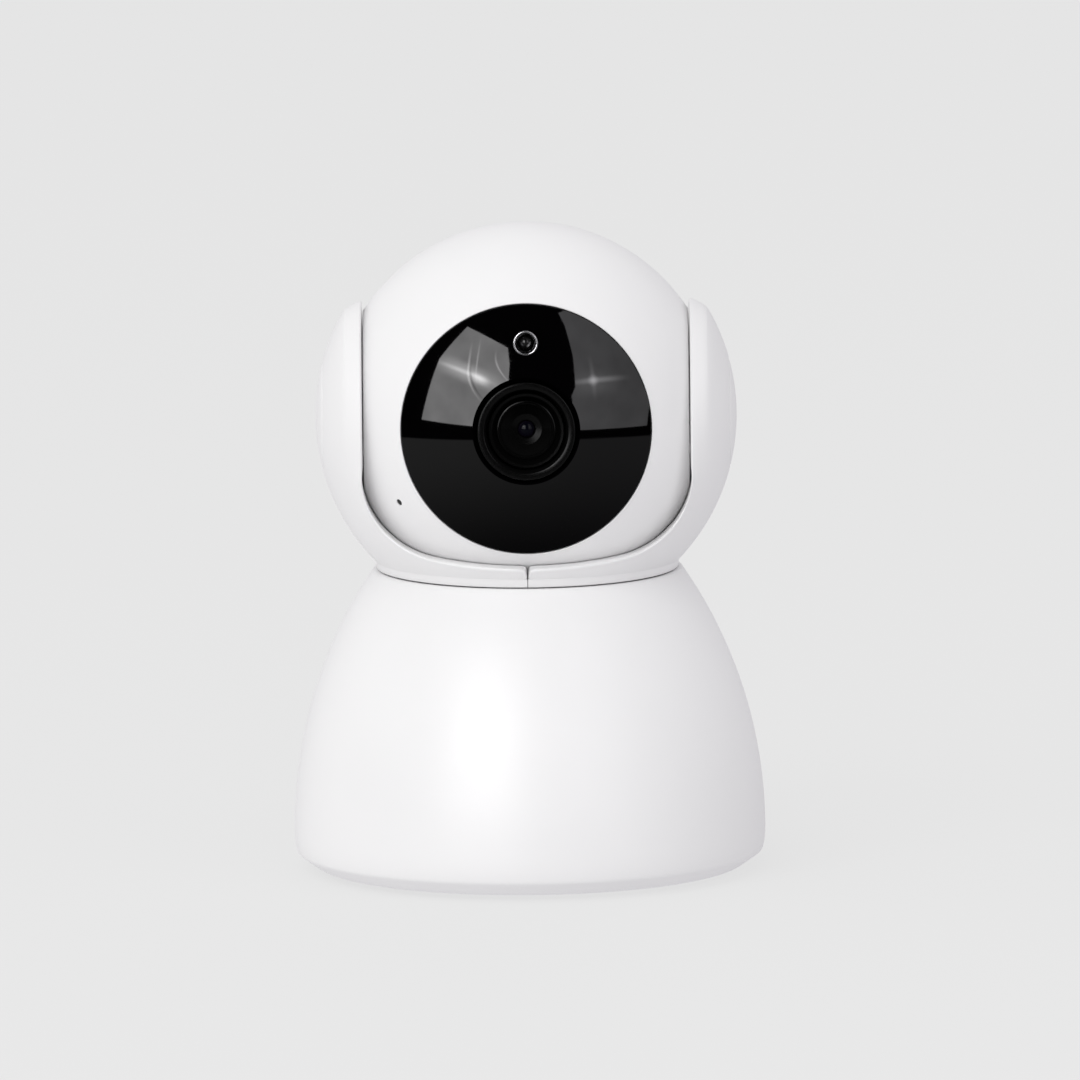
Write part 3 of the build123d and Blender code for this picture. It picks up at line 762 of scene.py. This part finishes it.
def makeSensor():
    r = head["sensorR"]
    top = sensor["top"]
    bore = sensor["bore"]
    outline = [(bore, sensor["back"]), (r, sensor["back"]), (r, top - 0.2)]
    outline += arc(r - 0.19, top - 0.19, 0.19, 10, 170, 7)
    outline += [(r - 0.4, top - 0.45), (1.6, top - 1.0), (bore, top - 1.2)]
    lift = facePlace @ Matrix.Translation(Vector((0, head["sensorUp"], 0)) * mm)
    ring = piece("sensorRing", lathe(outline, 64), chrome, "head", lift, 30)
    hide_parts("sensor_ring")
    eyeR = sensor["eye"]
    eyeAt = sensor["eyeAt"]
    eye = [(0, eyeAt + eyeR)]
    eye += [(eyeR * sin(radians(a)), eyeAt + eyeR * cos(radians(a))) for a in (20, 40, 60, 80)]
    eye += [(eyeR, eyeAt - 0.15), (eyeR, sensor["foot"]), (0, sensor["foot"])]
    dot = piece("lightSensor", lathe(eye, 48, closed=False), ledResin, "head", lift, 50)
    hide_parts("light_sensor")


makeBase()
print("base made")
for side, name, node, capName, capNode, wallName in (
    (-1, "yokeLeft", "yoke_left", "capLeft", "side_cap_left", "earWallLeft"),
    (1, "yokeRight", "yoke_right", "capRight", "side_cap_right", "earWallRight"),
):
    makeYokeHalf(side, name, node)
    makeEarWall(side, wallName)
    makeSideCap(side, capName, capNode)
makeCollar()
print("yoke made")
makeFrontShell()
makeRearShell()
makeWindow()
makeLens()
makeSensor()
makeMicShadePlug()
print("head made")


nodeFinish = {
    "base_cover": coverWhite, "rubber_feet": footRubber, "tripod_insert": turnedBrass,
    "cover_screws": zincSteel, "motor_screws": zincSteel, "turntable_screws": zincSteel,
    "head_screws": zincSteel, "ballast_plate": zincSteel, "spindle_clip": zincSteel,
    "tilt_shaft": zincSteel, "trunnion_pin": zincSteel, "pan_motor": motorSteel, "tilt_motor": motorSteel,
    "pan_deck": innerBlack, "thrust_washer": acetal, "trunnion_bush": acetal, "pan_gear": acetal,
    "pan_pinion": acetal, "main_board": boardGreen, "sensor_board": boardGreen, "led_board": boardGreen,
    "card_board": boardGreen, "wifi_antenna": boardGreen, "board_chips": chipBlack, "image_sensor": chipBlack,
    "speaker": chipBlack, "microphone": chipBlack, "reset_switch": chipBlack, "power_socket": zincSteel,
    "card_reader": zincSteel, "infrared_leds": ledResin, "face_carrier": innerBlack,
    "lens_holder": innerBlack, "reset_button": whiteShell,
}
for node, finish in nodeFinish.items():
    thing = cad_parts[node]
    thing.data.materials.clear()
    thing.data.materials.append(finish)
print("finishes given")


view = {
    "distance": 4.0, "rise": radians(8.3), "aim": Vector((2.13 * mm, 0, 56.1 * mm)), "lens": 785.0,
    "roll": radians(-0.55),
}


def makeCamera():
    data = bpy.data.cameras.new("camera")
    data.lens = view["lens"]
    data.sensor_width = 36
    data.clip_start = 0.05
    data.clip_end = 20
    cam = bpy.data.objects.new("camera", data)
    bpy.context.scene.collection.objects.link(cam)
    away = Vector((0, -cos(view["rise"]), sin(view["rise"])))
    turn = (-away).to_track_quat("-Z", "Y").to_matrix().to_4x4()
    spot = Matrix.Translation(view["aim"] + away * view["distance"])
    cam.matrix_world = spot @ turn @ Matrix.Rotation(view["roll"], 4, "Z")
    bpy.context.scene.camera = cam


def stagePiece(name, bm, material):
    thing = newObject(name, bm, material)
    return thing


floorPaper = {"level": 0.14, "glow": 0.655}


def makeFloor():
    bm = bmesh.new()
    bmesh.ops.create_grid(bm, x_segments=8, y_segments=8, size=4)
    f = Finish("floor paper")
    level = floorPaper["level"]
    f.set(Base_Color=grey(level), Roughness=1.0, Specular_IOR_Level=0.0, Emission_Color=grey(1.0),
          Emission_Strength=floorPaper["glow"])
    floor = stagePiece("floor", bm, f.material)
    floor.visible_glossy = False        # polished and matte parts see the room set in makeWorld instead
    floor.visible_diffuse = False


def towards(azimuth, elevation):
    # degrees; azimuth 0 is straight ahead of the face, positive to the right
    a, e = radians(azimuth), radians(elevation)
    return Vector((sin(a) * cos(e), -cos(a) * cos(e), sin(e)))


def softCard(name, outline, centre, distance, pattern, colour, strength):
    # a glowing fabric panel, flat, drawn through (azimuth, elevation) corners
    middle = towards(*centre)
    bm = bmesh.new()
    corners = []
    for azimuth, elevation in outline:
        ray = towards(azimuth, elevation)
        corners.append(bm.verts.new(headCentre + ray * distance / ray.dot(middle)))
    bm.faces.new(corners)
    f = Finish(name)
    spot = f.make("ShaderNodeTexCoord", output="Object")
    across = Vector((0, 0, 1)).cross(middle).normalized()
    if across.x < 0:
        across = -across
    up = middle.cross(across)
    if up.z < 0:
        up = -up
    origin = headCentre + middle * distance

    def along(axis):
        reach = f.make("ShaderNodeVectorMath", {"operation": "DOT_PRODUCT"}, {0: spot, 1: axis}, output=1)
        return reach - origin.dot(axis)

    glow = pattern(f, along(across), along(up))
    tone = f.make("ShaderNodeVectorMath", {"operation": "SCALE"}, {0: colour, "Scale": glow})
    f.set(Base_Color=grey(0.0), Specular_IOR_Level=0.0, Emission_Color=tone, Emission_Strength=strength)
    card = stagePiece(name, bm, f.material)
    card.visible_camera = False
    card.visible_diffuse = False
    card.visible_shadow = False


def ridge(distance, width):
    # 1 on a line, falling softly to 0 at width on both sides
    return 1 - distance.math("ABSOLUTE").smooth(0, width)


def foldedFabric(f, u, v):
    # the lamp behind the cloth shows as a slanting glow, and the cloth hangs in a few bowed creases
    bend = f.noise(2.2, 2, 0.5) - 0.5
    slant = v + u * 0.32 - 0.051 + bend * 0.03
    glow = ridge(slant, 0.11) * ridge(u + 0.02, 0.40)
    beam = ridge(slant, 0.03) * ridge(u + 0.05, 0.34)
    core = ridge(slant + 0.01, 0.06) * ridge(u - 0.09, 0.11)
    bowLeft = (0.10 - v).math("MAXIMUM", 0).power(2) * 1.8
    bowRight = (0.25 - v).math("MAXIMUM", 0).power(2) * 2.6
    creaseLeft = ridge(u + 0.02 - bowLeft, 0.016) * ridge(v - 0.06, 0.30)
    creaseMiddle = ridge(u - 0.05 - bowLeft * 0.6, 0.012) * ridge(v - 0.16, 0.24)
    creaseRight = ridge(u - 0.20 - bowRight, 0.015) * ridge(v - 0.12, 0.18)
    dark = ridge(u - bowLeft * 1.15, 0.018) * ridge(v + 0.02, 0.25)
    slow = f.noise(3.5, 3, 0.5)
    shape = glow * 0.85 + beam * 0.8 + core * 1.3 + creaseLeft * 0.8 + creaseMiddle * 0.55 + creaseRight * 0.7
    return (slow * 0.5 + shape + 0.38 + u * 0.15) * (1 - dark * 0.4)


def lampSpot(f, u, v):
    # one bright spot with a flare across it
    slow = f.noise(4, 2, 0.5)
    spot = ridge((u * u + v * v).math("SQRT"), 0.06)
    flare = ridge(v, 0.035) * ridge(u - 0.03, 0.34)
    halo = ridge(v + 0.02, 0.14) * ridge(u, 0.30)
    rise = ridge(u, 0.030) * ridge(v - 0.02, 0.22)
    return slow * 0.45 + spot * 2.4 + flare * 1.5 + rise * 0.6 + halo * 0.5 + 0.62 - u * 0.4


softboxLeft = {
    "outline": [(-43, 0.4), (-38.5, 24), (-29, 38), (-8.2, 30.6), (-7, 24), (-7.3, 12), (-8, -2.4)],
    "centre": (-24, 17), "distance": 1.2, "pattern": foldedFabric, "colour": (1, 0.99, 1), "strength": 5.2,
}
softboxRight = {
    "outline": [
        (17.8, 44.4), (19.7, 39), (21, 26), (20.5, 14), (18.6, 10.4), (21, -3.2), (50, -3.1),
        (53, 14), (51, 30), (40, 46),
    ],
    "centre": (28.5, 16), "distance": 1.2, "pattern": lampSpot, "colour": (1, 0.99, 1.02), "strength": 1.25,
}
lamps = {
    "keyLeft": {"azimuth": -25, "elevation": 36, "size": 0.9, "power": 4.2, "distance": 1.2},
    "fillRight": {"azimuth": 55, "elevation": 12, "size": 0.9, "power": 1.5, "distance": 1.2},
}


def addLamp(name, azimuth, elevation, size, power, distance):
    # soft panel for matte parts only; the glowing cards above give the reflections
    data = bpy.data.lights.new(name, "AREA")
    data.size = size
    data.energy = power
    lamp = bpy.data.objects.new(name, data)
    bpy.context.scene.collection.objects.link(lamp)
    way = towards(azimuth, elevation)
    turn = way.to_track_quat("Z", "Y").to_matrix().to_4x4()
    lamp.matrix_world = Matrix.Translation(headCentre + way * distance) @ turn
    lamp.visible_glossy = False
    lamp.visible_camera = False


room = {
    "key": Vector((-0.75, -0.45, 0.48)).normalized(), "matte": 0.81, "lean": 0.24, "fill": (0.98, 0.965, 1.0),
    "wallEdge": -0.8, "darkFrom": 0.64, "horizon": -0.122, "table": 0.19, "tableLeft": 0.08, "wall": 0.75,
    "bounce": 0.2, "seen": 0.807,
}


def makeWorld():
    # Pale to the camera, and a smooth light from the upper left for matte parts. Polished parts see
    # a dark room in front with a dim table under the horizon, and pale walls at the sides and behind.
    world = bpy.data.worlds.new("studio")
    bpy.context.scene.world = world
    f = Finish("studio", world)
    way = f.make("ShaderNodeTexCoord", output="Generated")
    x, y, z = (f.make("ShaderNodeSeparateXYZ", {}, {0: way}, output=i) for i in range(3))
    camera = f.make("ShaderNodeLightPath", output="Is Camera Ray")
    glossy = f.make("ShaderNodeLightPath", output="Is Glossy Ray")
    front = (0 - y).smooth(room["wallEdge"], room["darkFrom"])
    under = 1 - z.smooth(room["horizon"] - 0.006, room["horizon"] + 0.006)
    table = room["table"] + x.smooth(0.6, -0.8) * room["tableLeft"]
    table = under * table * z.smooth(-1.1, room["horizon"])
    mirrored = front * (table + 0.002) + (1 - front) * room["wall"]
    lean = f.make("ShaderNodeVectorMath", {"operation": "DOT_PRODUCT"}, {0: way, 1: room["key"]}, output=1)
    bounce = 1 + room["bounce"] - z.smooth(-0.9, 0.0) * room["bounce"]
    matte = (lean * room["lean"] + room["matte"]) * bounce
    tint = f.blendColours(lean.smooth(-0.6, 0.5), (*room["fill"], 1), grey(1.0))
    level = glossy * mirrored + (1 - glossy) * matte
    level = camera * room["seen"] + (1 - camera) * level
    colour = f.make("ShaderNodeVectorMath", {"operation": "SCALE"}, {0: tint, "Scale": level})
    f.set(Color=colour, Strength=1.0)


makeCamera()
makeFloor()
makeWorld()
softCard("softboxLeft", **softboxLeft)
softCard("softboxRight", **softboxRight)
for name, values in lamps.items():
    addLamp(name, **values)
settings = bpy.context.scene.view_settings
settings.view_transform = "Standard"
print("stage made")
